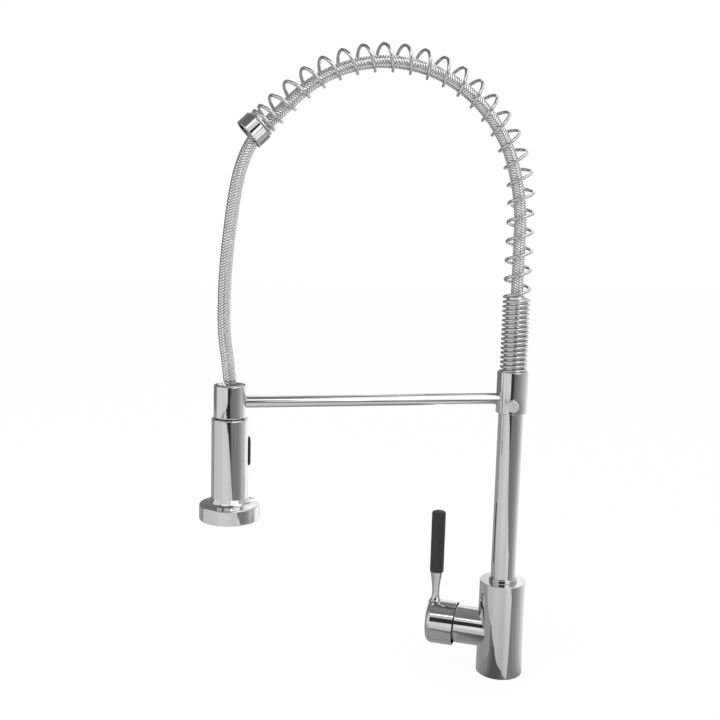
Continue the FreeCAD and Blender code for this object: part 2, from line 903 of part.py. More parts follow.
def cartridge_housing():
    """Plastic cup that holds the discs and the stem guide. Its lip keeps the guide in."""
    outer = housing_d / 2
    lip_low = housing_len - housing_lip_h
    shape = lathe((0, 0), (outer, 0), (outer, housing_len), (cavity_r - housing_lip, housing_len),
                  (cavity_r - housing_lip, lip_low), (cavity_r, lip_low), (cavity_r, housing_floor),
                  (0, housing_floor))
    cuts = []
    for up, side in ports():
        cuts.append(cross_rod(port_d / 2, V(up, side, 0), UP, housing_floor))
        cuts.append(cross_rod(seal_d / 2 + fit, V(up, side, 0), UP, seal_t))
    return on_handle(one_solid(shape.cut(cuts)))


def cartridge_seals():
    seals = []
    for up, side in ports():
        outer = cross_rod(seal_d / 2, V(up, side, 0), UP, seal_t)
        seals.append(outer.cut(cross_rod(port_d / 2, V(up, side, 0), UP, seal_t)))
    return on_handle(Part.makeCompound([one_solid(seal) for seal in seals]))


def fixed_disc():
    disc = rod(cavity_r - seal_fit, housing_floor, housing_floor + fixed_disc_t)
    holes = [cross_rod(port_d / 2, V(up, side, 0), UP, housing_len) for up, side in ports()]
    return on_handle(one_solid(disc.cut(holes)))


def disc_offset():
    """How far the stem's ball lies below the cartridge's axis when the tap is shut."""
    return stem_ball_arm * math.sin(math.radians(stem_rest_tilt))


def moving_disc():
    """Ceramic disc that the stem's ball pushes across the ports."""
    low = housing_floor + fixed_disc_t + fit
    high = low + moving_disc_t
    pocket_floor = pivot_out - stem_ball_arm - stem_ball_d / 2 - slip
    place = V(-disc_offset(), 0, low)
    disc = cross_rod(moving_disc_d / 2, place, UP, moving_disc_t)
    pocket = cross_rod(stem_ball_d / 2 + slip, V(-disc_offset(), 0, pocket_floor), UP, high)
    return on_handle(one_solid(disc.cut(pocket)))


def stem_guide():
    """Turning carrier of the stem, with a slot for its swing and a cross hole for its pin."""
    low = housing_floor + fixed_disc_t + fit + moving_disc_t + slip
    step = housing_len - housing_lip_h - slip
    shape = rod(cavity_r - seal_fit, low, step)
    shape = shape.fuse(rod(cavity_r - housing_lip - seal_fit, step, guide_end))
    half_w = stem_square / 2 + slip
    swing = math.tan(math.radians(stem_rest_tilt))
    inner = (pivot_out - low) * swing + stem_square / 2 + 2 * slip
    outer = (guide_end - pivot_out) * swing + stem_square / 2 + 2 * slip
    middle = pivot_out - stem_square / 2
    slot = box(V(-inner, -half_w, low), V(inner, half_w, middle))
    slot = slot.fuse(box(V(-outer, -half_w, middle), V(outer, half_w, guide_end)))
    pin = cross_rod(pivot_pin_d / 2 + shaft_fit, V(0, -housing_d, pivot_out), V(0, 1, 0), 2 * housing_d)
    return on_handle(one_solid(shape.cut([slot, pin])))


def stem_pin():
    pin = cross_rod(pivot_pin_d / 2, V(0, -pivot_pin_len / 2, pivot_out), V(0, 1, 0), pivot_pin_len)
    return on_handle(pin)


def tilted_with_stem(shape):
    """A piece built along Z from the pivot, tilted as the stem is when the tap is shut."""
    shape.Placement = FreeCAD.Placement(V(0, 0, pivot_out), FreeCAD.Rotation(V(0, 1, 0), stem_rest_tilt))
    return shape


def stem_bar(half, low, high):
    return box(V(-half, -half, low), V(half, half, high))


def control_stem():
    """Square stem on the pivot pin, with the ball that drives the moving disc."""
    half = stem_square / 2
    ball = Part.makeSphere(stem_ball_d / 2, V(0, 0, -stem_ball_arm))
    bar = stem_bar(half, -stem_ball_arm * 0.7, stem_out)
    neck = rod(stem_neck_d / 2, -stem_ball_arm, 0)
    hole = cross_rod(pivot_pin_d / 2 + fit, V(0, -half, 0), V(0, 1, 0), stem_square)
    return on_handle(tilted_with_stem(one_solid(bar.fuse([neck, ball]).cut(hole))))


def cartridge_nut():
    """Nut that clamps the cartridge in the boss. Its domed collar shows in the handle's gap."""
    collar = boss_d / 2
    bore = nut_bore_d / 2
    lip = nut_lip_d / 2
    edge = pivot_out + math.sqrt(nut_dome_r ** 2 - collar ** 2)
    front = pivot_out + math.sqrt(nut_dome_r ** 2 - (lip + nut_lip) ** 2)
    thread = nut_thread_d / 2
    shape = lathe((bore, housing_len), (thread, housing_len), (thread, boss_end), (collar, boss_end),
                  (collar, edge), (lip + nut_lip, front), (lip, front), (lip, nut_stop), (bore, nut_stop))
    dome = Part.makeSphere(nut_dome_r, V(0, 0, pivot_out)).common(rod(collar, edge - fit, hub_end))
    return on_handle(one_solid(shape.fuse(dome.cut(rod(lip, 0, hub_end)))))


def handle_sleeve():
    """Chrome sleeve over the boss, cut to sit round the body."""
    shape = lathe((boss_d / 2 + fit, 0), (sleeve_d / 2, 0), (sleeve_d / 2, sleeve_end, 0.8),
                  (boss_d / 2 + fit, sleeve_end, 0.4))
    return one_solid(on_handle(shape).cut(rod(body_r, 0, body_h)))


def hub_end_corners():
    """Outline of the hub's domed end, from its rounded edge to its middle."""
    outer = hub_d / 2
    middle = outer / 2

    def dome(radius):
        return hub_end - radius ** 2 / (2 * hub_dome_r)

    return (outer, dome(outer), hub_corner), (middle, dome(middle), hub_d), (0, hub_end)


def handle_hub():
    """Cap that turns and tilts with the lever: slanted skirt, domed end, sockets for stem and lever."""
    outer = hub_d / 2
    inner = outer - hub_wall
    back = hub_start - hub_slant
    shape = lathe((0, hub_cavity_end), (inner, hub_cavity_end, hub_wall), (inner, back), (outer, back),
                  *hub_end_corners())
    corners = [V(-hub_d, -hub_d, hub_start + hub_slant / 2), V(hub_d, -hub_d, back - hub_slant / 2),
               V(-hub_d, -hub_d, back - hub_slant / 2)]
    wedge = Part.Face(Part.makePolygon(corners, True)).extrude(V(0, 2 * hub_d, 0))
    socket = tilted_with_stem(stem_bar(stem_square / 2 + fit, 0, stem_out + play))
    tang = cross_rod(lever_tang_d / 2 + fit, V(outer - lever_tang_sink, 0, lever_out), V(1, 0, 0), outer)
    stem_mid = stem_underside() + stem_square / 2
    screw = cross_rod(set_screw_d / 2 + fit, V(stem_mid, 0, set_screw_out()), V(-1, 0, 0), hub_d)
    plug_seat = V(index_plug_sink - outer, 0, set_screw_out())
    plug = cross_rod(index_plug_d / 2 + fit, plug_seat, V(-1, 0, 0), outer)
    return on_handle(one_solid(shape.cut([wedge, socket, tang, screw, plug])))


def set_screw_out():
    return (hub_cavity_end + hub_end) / 2 - hub_corner / 2


def stem_underside():
    """Height of the stem's lower face above the handle's axis, where the set screw meets it."""
    tilt = math.radians(stem_rest_tilt)
    along = set_screw_out() - pivot_out + set_screw_d / 2
    return (along - set_screw_d) * math.tan(tilt) - stem_square / 2 / math.cos(tilt)


def hub_set_screw():
    top = stem_underside() - fit
    return on_handle(cross_rod(set_screw_d / 2, V(top, 0, set_screw_out()), V(-1, 0, 0), set_screw_len))


def index_plug():
    """Cap in the mouth of the set screw's hole, under the hub."""
    radius = index_plug_d / 2
    top = index_plug_sink + index_plug_proud
    seat = V(index_plug_sink - hub_d / 2, 0, set_screw_out())
    plug = lathe((0, 0), (radius, 0), (radius, top, edge_round), (0, top))
    plug.Placement = FreeCAD.Placement(seat, FreeCAD.Rotation(UP, V(-1, 0, 0)))
    return on_handle(plug)


def lever_ellipse(height, wide, thick):
    """Section of the lever's neck: wide along the handle's axis, thick across it."""
    major, minor = max(wide, thick) / 2, min(wide, thick) / 2
    along = V(0, 0, 1) if wide > thick else V(0, 1, 0)
    middle = V(height, 0, lever_out)
    curve = Part.Ellipse(middle + along * major, middle + V(1, 0, 0).cross(along) * minor, middle)
    return Part.Wire(curve.toShape())


def lever_neck():
    """Waisted chrome neck between hub and grip: flared foot, flattened top, a tang into each."""
    foot = hub_d / 2
    top = lever_grip_low - handle_z
    tall = top - foot
    sections = [lever_ellipse(foot - lever_sunk, lever_flare_d, lever_flare_d - lever_flat)]
    for share, wide in ((0, lever_foot_d), (0.1, lever_ankle_d), (0.2, lever_waist_d), (0.5, lever_middle_d),
                        (0.78, (lever_middle_d + lever_top_d) / 2), (1, lever_top_d)):
        sections.append(lever_ellipse(foot + tall * share, wide, wide - lever_flat * share))
    neck = Part.makeLoft(sections, True, False)
    hub = lathe((0, hub_start), (foot, hub_start), *hub_end_corners())
    tang_low = foot - lever_tang_sink + lever_tang_gap
    tang_len = top + lever_tang_rise - tang_low
    tang = cross_rod(lever_tang_d / 2, V(tang_low, 0, lever_out), V(1, 0, 0), tang_len)
    return on_handle(one_solid(neck.cut(hub).fuse(tang)))


def lever_grip():
    low = lever_grip_low - handle_z
    high = lever_grip_top - handle_z
    radius = lever_grip_d / 2
    bore = lever_tang_d / 2 + fit
    shape = lathe((bore, 0), (radius, 0, 0.6), (radius, high - low, 2.0), (0, high - low),
                  (0, lever_tang_rise + play), (bore, lever_tang_rise + play))
    shape.Placement = FreeCAD.Placement(V(low, 0, lever_out), FreeCAD.Rotation(UP, V(1, 0, 0)))
    return on_handle(shape)


PIECES = (body, base_gasket, swivel_washer, keeper_screw, handle_sleeve, cartridge_housing,
          cartridge_seals, fixed_disc, cartridge_nut, stem_guide, stem_pin, moving_disc, control_stem,
          handle_hub, hub_set_screw, index_plug, lever_neck, lever_grip, swivel_spigot, o_rings, riser,
          collar, lock_screw, holder_arm, holder_ring, holder_liner, spring_guide, spring,
          spring_ferrule, hose_tail, hose_arch, hose_drop, hose_crimp, hose_nipple, head_neck,
          hose_washer, swivel_nut, check_valve, head_shell, head_bell, spray_face, nozzle_mat, aerator,
          water_core, diverter_spool, button_pin, spray_button)

os.makedirs("parts", exist_ok=True)
for piece in PIECES:
    shape = piece()
    shape.exportStep("parts/%s.step" % piece.__name__)
    print("%-18s %9.1f mm3" % (piece.__name__, shape.Volume))
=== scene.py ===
"""Looks of a spring-neck kitchen tap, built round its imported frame."""
import bisect
import math

import bmesh
import bpy
from bpy.props import FloatProperty, FloatVectorProperty, IntProperty, PointerProperty
from mathutils import Matrix, Vector
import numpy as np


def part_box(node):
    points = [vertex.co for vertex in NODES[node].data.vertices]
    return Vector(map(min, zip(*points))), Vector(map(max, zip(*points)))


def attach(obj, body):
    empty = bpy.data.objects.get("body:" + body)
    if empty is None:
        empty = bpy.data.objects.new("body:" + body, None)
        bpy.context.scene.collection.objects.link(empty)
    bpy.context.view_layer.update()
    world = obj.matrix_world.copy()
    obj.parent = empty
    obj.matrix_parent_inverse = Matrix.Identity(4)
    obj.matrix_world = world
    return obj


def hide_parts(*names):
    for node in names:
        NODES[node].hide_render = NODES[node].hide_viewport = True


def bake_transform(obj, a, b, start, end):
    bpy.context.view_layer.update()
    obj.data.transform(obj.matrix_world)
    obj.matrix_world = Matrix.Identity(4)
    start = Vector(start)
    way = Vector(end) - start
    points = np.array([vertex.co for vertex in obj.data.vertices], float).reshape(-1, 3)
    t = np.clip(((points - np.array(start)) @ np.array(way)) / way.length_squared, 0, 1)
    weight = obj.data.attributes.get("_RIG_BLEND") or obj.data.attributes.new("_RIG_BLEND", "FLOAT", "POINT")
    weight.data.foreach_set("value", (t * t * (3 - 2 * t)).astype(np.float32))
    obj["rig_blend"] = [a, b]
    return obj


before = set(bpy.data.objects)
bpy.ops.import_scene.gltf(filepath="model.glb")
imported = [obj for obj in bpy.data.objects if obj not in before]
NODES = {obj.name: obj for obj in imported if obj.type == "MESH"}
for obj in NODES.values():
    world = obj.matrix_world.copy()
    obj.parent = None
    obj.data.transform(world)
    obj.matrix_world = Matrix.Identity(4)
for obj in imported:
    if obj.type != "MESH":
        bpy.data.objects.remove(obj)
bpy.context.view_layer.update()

bl_info = {
    "name": "Spring-neck tap",
    "version": (1, 0, 0),
    "blender": (4, 5, 0),
    "location": "View3D > Sidebar > Tap",
    "description": "Dresses the frame of a spring-neck kitchen tap and sets up its studio",
    "category": "Object",
}

# Neck, in metres. The arch lies in the plane of the riser and the spray head, and SIDE points out of it.
ARCH_RADIUS = 0.1297
ARCH_HEIGHT = 0.4645
ARCH_SWEEP = math.radians(134)
SIDE = Vector((-1, 0, 0))

# Spring wire: its seats, and its turns from the collar to the ferrule
SPRING_GAP = 0.0003
SPRING_SEAT = 0.0022
SPRING_START = 0.5
SPRING_TAIL = 0.0415
FERRULE_SEAT = 0.006
CLOSE_PITCH = 0.0045
CLOSE_TURNS = 15.8
RAMP_TURNS = 0.4
OPEN_TURNS = 22.1
END_RAMP_TURNS = 2.0
END_TURNS = 2.2
STEPS_PER_TURN = 40
WIRE_ROUNDING = 6
WIRE_WELD = 1e-7
WIRE_SHARP = math.radians(50)

# Hose inside the arch, and the route of its free end as (out from the riser, height)
HOSE_LOW = 0.294
HOSE_SHOWS = 0.372
HOSE_OFFSET = 0.0038
HOSE_ENTRY_RADIUS = 0.2
HOSE_END_RUN = 0.034
DROP_ROUTE = ((0.24161, 0.53145), (0.24953, 0.52380), (0.2568, 0.5129), (0.2631, 0.4993),
              (0.2692, 0.4782), (0.2748, 0.4380), (0.2786, 0.3980), (0.2796, 0.3620),
              (0.2786, 0.3380), (0.2756, 0.3190), (0.2736, 0.2995))
ROUTE_STEPS = 24
ROUTE_ORDER = 3

# Braid on the hose's core: flat strands that ride in waves over and under each other
STRAND_STEP = 0.0007
STRAND_SIDES = 6
STRAND_THICKNESS = 0.00032
STRAND_WAVE = 0.00022
CORE_DEPTH = 0.0007
CORE_STEP = 0.004
CORE_SIDES = 24
SKIN_WELD = 1e-8

# Patterns of the finishes: sizes in metres, shades as shares of the finish's own colour
BUFFING_WAVE = 0.012
BUFFING_HAZE = 0.03
BUFFING_DEPTH = 0.00001
BUFFING_ROUGH = (0.02, 0.07)
DRAWING_MARKS = 0.004
DRAWING_DEPTH = 0.00001
DRAWING_ROUGH = (0.01, 0.03)
STRAND_WIRES = 5
STRAND_WIRE_DEPTH = 0.00006
BRAID_WEAR = 0.006
BRAID_ROUGH = (0.12, 0.2)
# Painted shadow on the braid: its colour falls to this share where a strand dips under the other set, fading
# out between these lifts
BRAID_PAINTED_SHADOW = 0.12
BRAID_DIP_LIFTS = (-0.4, 0.58)
MOULD_CLOUD = 0.02
MOULD_SHADES = (0.85, 1.12)
MOULD_GLOSS = 0.06
TURNING_MARKS = 0.001885
TURNING_DEPTH = 0.00002
# A wave texture of scale 1 turns by this many radians in a metre
WAVE_TURN = 20

# Camera, as found from the straight edges and circles of the photographed tap
CAMERA_PLACE = (0.8873, -0.3435, 0.4469)
CAMERA_HEADING = math.radians(167.85)
CAMERA_PITCH = math.radians(8.06)
CAMERA_ROLL = math.radians(1.55)
CAMERA_LENS = 48.88
CAMERA_SENSOR = 36.0
CAMERA_NEAR = 0.01

# Pieces by finish
CHROME_NODES = ("body", "handle_sleeve", "cartridge_nut", "handle_hub", "lever_neck", "swivel_spigot",
                "riser", "collar", "spring_guide", "holder_arm", "holder_ring", "spring_ferrule",
                "head_shell", "head_bell", "head_neck", "hose_nipple")
SATIN_NODES = ("lock_screw",)
GRIP_NODES = ("lever_grip",)
STEEL_NODES = ("keeper_screw", "stem_pin", "hub_set_screw", "button_pin", "hose_crimp", "control_stem")
BRASS_NODES = ("hose_tail", "swivel_nut")
BLACK_NODES = ("spray_button", "spray_face", "holder_liner", "index_plug")
ACETAL_NODES = ("swivel_washer", "cartridge_housing", "stem_guide", "check_valve", "aerator",
                "water_core", "diverter_spool")
RUBBER_NODES = ("base_gasket", "cartridge_seals", "o_rings", "hose_washer", "nozzle_mat")
CERAMIC_NODES = ("fixed_disc", "moving_disc")


def linear(code):
    """Linear colour from an sRGB hex code."""
    channels = [int(code[i:i + 2], 16) / 255 for i in (1, 3, 5)]
    return tuple(c / 12.92 if c <= 0.04045 else ((c + 0.055) / 1.055) ** 2.4 for c in channels)


class NeckSettings(bpy.types.PropertyGroup):
    """Sizes of spring, hose and braid"""
    wire_diameter: FloatProperty(name="Wire", description="Diameter of the spring's wire", default=0.0033,
                                 min=0.001, max=0.004, unit="LENGTH")
    spring_diameter: FloatProperty(name="Spring", description="Outer diameter of the spring", default=0.027,
                                   min=0.02, max=0.04, unit="LENGTH")
    hose_diameter: FloatProperty(name="Hose", description="Outer diameter of the braided hose",
                                 default=0.012, min=0.008, max=0.016, unit="LENGTH")
    strands: IntProperty(name="Strands", description="Strands of the braid each way, in steps of four",
                         default=8, min=4, max=24, step=4)
    strand_width: FloatProperty(name="Strand width", description="Width of a strand of the braid",
                                default=0.0020, min=0.0005, max=0.004, unit="LENGTH")
    braid_lead: FloatProperty(name="Braid lead", description="Length in which a strand goes round once",
                              default=0.02, min=0.01, max=0.08, unit="LENGTH")


class FinishSettings(bpy.types.PropertyGroup):
    """Colours of the finishes that show"""
    chrome: FloatVectorProperty(name="Chrome", description="Colour of the polished plating", subtype="COLOR",
                                size=3, min=0, max=1, default=linear("#d1d1d1"))
    wire: FloatVectorProperty(name="Spring wire", description="Colour of the plated wire", subtype="COLOR",
                              size=3, min=0, max=1, default=linear("#cccccc"))
    braid: FloatVectorProperty(name="Braid", description="Colour of the braided steel", subtype="COLOR",
                               size=3, min=0, max=1, default=linear("#f8f8f8"))
    grip: FloatVectorProperty(name="Grip", description="Colour of the soft black grip", subtype="COLOR",
                              size=3, min=0, max=1, default=linear("#272729"))
    black: FloatVectorProperty(name="Black plastic", description="Colour of the moulded black pieces",
                               subtype="COLOR", size=3, min=0, max=1, default=linear("#1f1f21"))


class StudioSettings(bpy.types.PropertyGroup):
    """Floor, reflection tent and lamp"""
    floor: FloatVectorProperty(name="Floor", description="Colour of the floor", subtype="COLOR", size=3,
                               min=0, max=1, default=(1, 1, 1))
    tent_radius: FloatProperty(name="Tent", description="Radius of the reflection tent round the tap",
                               default=1.6, min=1.2, max=4, unit="LENGTH")
    wall_height: FloatProperty(name="Wall height", description="Height of the reflection tent's lower wall",
                               default=0.25, min=0, max=1, unit="LENGTH")
    tent_height: FloatProperty(name="Tent height", description="Height of the reflection tent's roof",
                               default=2.4, min=1, max=5, unit="LENGTH")
    lamp_power: FloatProperty(name="Lamp", description="Power of the soft lamp, in watts", default=9.0,
                              min=0, max=200, unit="POWER")


# Small helpers

def add(tree, kind, inputs=None, **settings):
    """Adds a node, sets it up and fills or links its inputs."""
    node = tree.nodes.new(kind)
    for name, value in settings.items():
        setattr(node, name, value)
    for name, value in (inputs or {}).items():
        if isinstance(value, bpy.types.NodeSocket):
            tree.links.new(value, node.inputs[name])
        else:
            node.inputs[name].default_value = value
    return node


def new_material(name):
    """Empty node material, with its tree and its output."""
    material = bpy.data.materials.new(name)
    material.use_nodes = True
    tree = material.node_tree
    tree.nodes.clear()
    return material, tree, tree.nodes.new("ShaderNodeOutputMaterial")


def surface(tree, output, base, **values):
    """Principled shader on the output. The base is a colour or a socket, a value a number or a socket."""
    inputs = {"Base Color": base if isinstance(base, bpy.types.NodeSocket) else (*base, 1)}
    inputs.update({name.title(): value for name, value in values.items()})
    shader = add(tree, "ShaderNodeBsdfPrincipled", inputs)
    tree.links.new(shader.outputs["BSDF"], output.inputs["Surface"])


def piece(name, bm, materials):
    """Object at the origin from a finished bmesh."""
    mesh = bpy.data.meshes.new(name)
    bm.to_mesh(mesh)
    bm.free()
    obj = bpy.data.objects.new(name, mesh)
    for material in materials:
        mesh.materials.append(material)
    bpy.context.scene.collection.objects.link(obj)
    return obj


def dress(names, material):
    """Gives CAD nodes a material."""
    for name in names:
        slots = NODES[name].data.materials
        slots.clear()
        slots.append(material)


# Neck's lines

def follow(runs, low, length):
    """Point, outward and forward directions after a length of runs that start upwards over the riser."""
    out, height, heading = 0.0, low, math.pi / 2
    for i, (run, radius) in enumerate(runs):
        step = length if i == len(runs) - 1 else min(length, run)
        turned = heading - step / radius if radius else heading
        if radius:
            out += radius * (math.sin(heading) - math.sin(turned))
            height += radius * (math.cos(turned) - math.cos(heading))
        else:
            out += math.cos(heading) * step
            height += math.sin(heading) * step
        heading = turned
        length -= step
        if length <= 0:
            break
    outward = Vector((0, math.sin(heading), math.cos(heading)))
    forward = Vector((0, -math.cos(heading), math.sin(heading)))
    return Vector((0, -out, height)), outward, forward


def hose_runs():
    """Runs of the hose inside the arch as (length, bend radius), and their whole length."""
    inner = ARCH_RADIUS - HOSE_OFFSET
    drop = math.sqrt(HOSE_OFFSET * (2 * HOSE_ENTRY_RADIUS - 2 * ARCH_RADIUS + HOSE_OFFSET))
    entry = math.atan2(drop, HOSE_ENTRY_RADIUS - ARCH_RADIUS)
    runs = ((ARCH_HEIGHT - drop - HOSE_LOW, 0), (HOSE_ENTRY_RADIUS * entry, HOSE_ENTRY_RADIUS),
            (inner * (ARCH_SWEEP - entry), inner), (HOSE_END_RUN, 0))
    return runs, sum(length for length, _ in runs)


def drop_line():
    """Points of the free hose, read from a smooth curve through its route."""
    curve = bpy.data.curves.new("drop_route", "CURVE")
    curve.dimensions = "3D"
    curve.resolution_u = ROUTE_STEPS
    spline = curve.splines.new("NURBS")
    spline.points.add(len(DROP_ROUTE) - 1)
    for knot, (out, height) in zip(spline.points, DROP_ROUTE):
        knot.co = (0, -out, height, 1)
    spline.order_u = ROUTE_ORDER
    spline.use_endpoint_u = True
    carrier = bpy.data.objects.new("drop_route", curve)
    line = bpy.data.meshes.new_from_object(carrier)
    points = [vertex.co.copy() for vertex in line.vertices]
    bpy.data.objects.remove(carrier)
    bpy.data.curves.remove(curve)
    bpy.data.meshes.remove(line)
    return points


class PointLine:
    """A line through points, read by the length along it."""

    def __init__(self, points):
        self.points = points
        self.reach = [0.0]
        for a, b in zip(points, points[1:]):
            self.reach.append(self.reach[-1] + (b - a).length)
        last = len(points) - 1
        self.ways = [(points[min(i + 1, last)] - points[max(i - 1, 0)]).normalized() for i in range(last + 1)]

    def __call__(self, length):
        i = min(max(bisect.bisect_right(self.reach, length) - 1, 0), len(self.points) - 2)
        share = (length - self.reach[i]) / (self.reach[i + 1] - self.reach[i])
        forward = self.ways[i].lerp(self.ways[i + 1], share).normalized()
        return (self.points[i].lerp(self.points[i + 1], share), Vector((0, forward.z, -forward.y)), forward)


# Spring and hose

def pitch_at(turn, open_pitch):
    """Pitch of the spring after some turns: close, a ramp, open, a ramp, and close again."""
    total = CLOSE_TURNS + RAMP_TURNS + OPEN_TURNS + END_RAMP_TURNS + END_TURNS
    share = min((turn - CLOSE_TURNS) / RAMP_TURNS, (total - END_TURNS - turn) / END_RAMP_TURNS)
    return CLOSE_PITCH + (open_pitch - CLOSE_PITCH) * min(max(share, 0), 1)


def coil_points(wire, coil_radius):
    """Middle line of the wire: close turns on the collar, open turns round the arch, close turns again."""
    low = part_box("collar")[1].z - SPRING_SEAT + wire / 2 + SPRING_GAP
    runs = ((ARCH_HEIGHT - low, 0), (ARCH_RADIUS * ARCH_SWEEP, ARCH_RADIUS), (SPRING_TAIL, 0))
    whole = sum(length for length, _ in runs) + FERRULE_SEAT - wire / 2 - SPRING_GAP
    half_ramps = (RAMP_TURNS + END_RAMP_TURNS) / 2
    close = CLOSE_PITCH * (CLOSE_TURNS + half_ramps + END_TURNS)
    open_pitch = (whole - close) / (OPEN_TURNS + half_ramps)
    turns = CLOSE_TURNS + RAMP_TURNS + OPEN_TURNS + END_RAMP_TURNS + END_TURNS
    points, length = [], 0.0
    for i in range(round(turns * STEPS_PER_TURN) + 1):
        turn = i / STEPS_PER_TURN
        axis, outward, _ = follow(runs, low, length)
        angle = 2 * math.pi * (turn + SPRING_START)
        points.append(axis + (outward * math.cos(angle) + SIDE * math.sin(angle)) * coil_radius)
        ahead = turn + 1 / STEPS_PER_TURN
        length += (pitch_at(turn, open_pitch) + pitch_at(ahead, open_pitch)) / 2 / STEPS_PER_TURN
    start = (points[0] - points[1]).normalized() * wire / 2
    end = (points[-1] - points[-2]).normalized() * wire / 2
    return [points[0] + start, *points, points[-1] + end]


def lay_skin(bm, line, steps, sides, lay):
    """Closed tube of a grid laid on the hose. lay(u, v) gives length along it, angle, radius and lift."""
    made = bmesh.ops.create_grid(bm, x_segments=steps, y_segments=sides, size=1, calc_uvs=True)["verts"]
    half = max(vert.co.x for vert in made)
    lifted = bm.verts.layers.float["lift"]
    for vert in made:
        length, angle, radius, vert[lifted] = lay(0.5 + vert.co.x / half / 2, 0.5 + vert.co.y / half / 2)
        point, outward, _ = line(length)
        vert.co = point + (outward * math.cos(angle) + SIDE * math.sin(angle)) * radius
    bmesh.ops.remove_doubles(bm, verts=made, dist=SKIN_WELD)


def braid(bm, line, start, end, phase, neck):
    """Two sets of flat strands wound both ways, each over two and under two of the other set.

    A strand's lift goes from -1 where it dips under to 1 where it rides over.
    """
    count, lead = neck.strands, neck.braid_lead
    half_width, half_thick = neck.strand_width / 2, STRAND_THICKNESS / 2
    middle = neck.hose_diameter / 2 - half_thick - STRAND_WAVE
    slope = math.atan2(2 * math.pi * middle, lead)

    def strand(way, index):
        """Lay of one strand of the set that is wound one way."""
        def lay(u, v):
            turn = 2 * math.pi * v
            across, up = half_width * math.cos(turn), half_thick * math.sin(turn)
            length = start + (end - start) * u
            crossings = 2 * count * (length + phase) / lead
            lift = way * math.cos(math.pi / 2 * (2 * index + way * crossings) - math.pi / 4)
            angle = 2 * math.pi * (index / count + way * (length + phase) / lead)
            angle += across * math.cos(slope) / middle
            along = min(max(length - way * across * math.sin(slope), start), end)
            return along, angle, middle + STRAND_WAVE * lift + up, lift
        return lay

    steps = round((end - start) / STRAND_STEP)
    for way in (1, -1):
        for index in range(count):
            lay_skin(bm, line, steps, STRAND_SIDES, strand(way, index))


def hose_mesh(name, line, low, shows, end, phase, neck, materials):
    """A length of braided hose: dark core all along it, and the braid where it shows."""
    bm = bmesh.new()
    bm.loops.layers.uv.new("UVMap")
    bm.verts.layers.float.new("lift")
    braid(bm, line, shows, end, phase, neck)
    woven = len(bm.faces)
    core = neck.hose_diameter / 2 - CORE_DEPTH
    lay_skin(bm, line, round((end - low) / CORE_STEP), CORE_SIDES,
             lambda u, v: (low + (end - low) * u, 2 * math.pi * v, core, 0.0))
    bm.faces.ensure_lookup_table()
    for face in bm.faces[woven:]:
        face.material_index = 1
    bmesh.ops.holes_fill(bm, edges=[edge for edge in bm.edges if edge.is_boundary], sides=CORE_SIDES)
    bmesh.ops.recalc_face_normals(bm, faces=bm.faces)
    for face in bm.faces:
        face.smooth = True
    return piece(name, bm, materials)


# Materials

def polished_chrome(finish):
    """Bright chrome plating on buffed brass: mirror-like, with the faint waves that buffing leaves."""
    material, tree, output = new_material("polished_chrome_plating")
    where = add(tree, "ShaderNodeTexCoord").outputs["Object"]
    waves = add(tree, "ShaderNodeTexNoise", {"Vector": where, "Scale": 1 / BUFFING_WAVE, "Detail": 1.0})
    haze = add(tree, "ShaderNodeTexNoise", {"Vector": where, "Scale": 1 / BUFFING_HAZE, "Detail": 4.0})
    rough = add(tree, "ShaderNodeMapRange", {"Value": haze.outputs["Fac"], "To Min": BUFFING_ROUGH[0],
                                             "To Max": BUFFING_ROUGH[1]})
    bump = add(tree, "ShaderNodeBump", {"Height": waves.outputs["Fac"], "Distance": BUFFING_DEPTH,
                                        "Strength": 1.0})
    surface(tree, output, finish.chrome, metallic=1.0, roughness=rough.outputs["Result"],
            normal=bump.outputs["Normal"])
    return material


def plated_wire(finish):
    """Drawn spring wire, plated: bright, with faint marks of drawing, coarse to show, in its reflections."""
    material, tree, output = new_material("plated_spring_wire")
    where = add(tree, "ShaderNodeTexCoord").outputs["Object"]
    marks = add(tree, "ShaderNodeTexNoise", {"Vector": where, "Scale": 1 / DRAWING_MARKS, "Detail": 3.0})
    rough = add(tree, "ShaderNodeMapRange", {"Value": marks.outputs["Fac"], "To Min": DRAWING_ROUGH[0],
                                             "To Max": DRAWING_ROUGH[1]})
    bump = add(tree, "ShaderNodeBump", {"Height": marks.outputs["Fac"], "Distance": DRAWING_DEPTH,
                                        "Strength": 1.0})
    surface(tree, output, finish.wire, metallic=1.0, roughness=rough.outputs["Result"],
            normal=bump.outputs["Normal"])
    return material


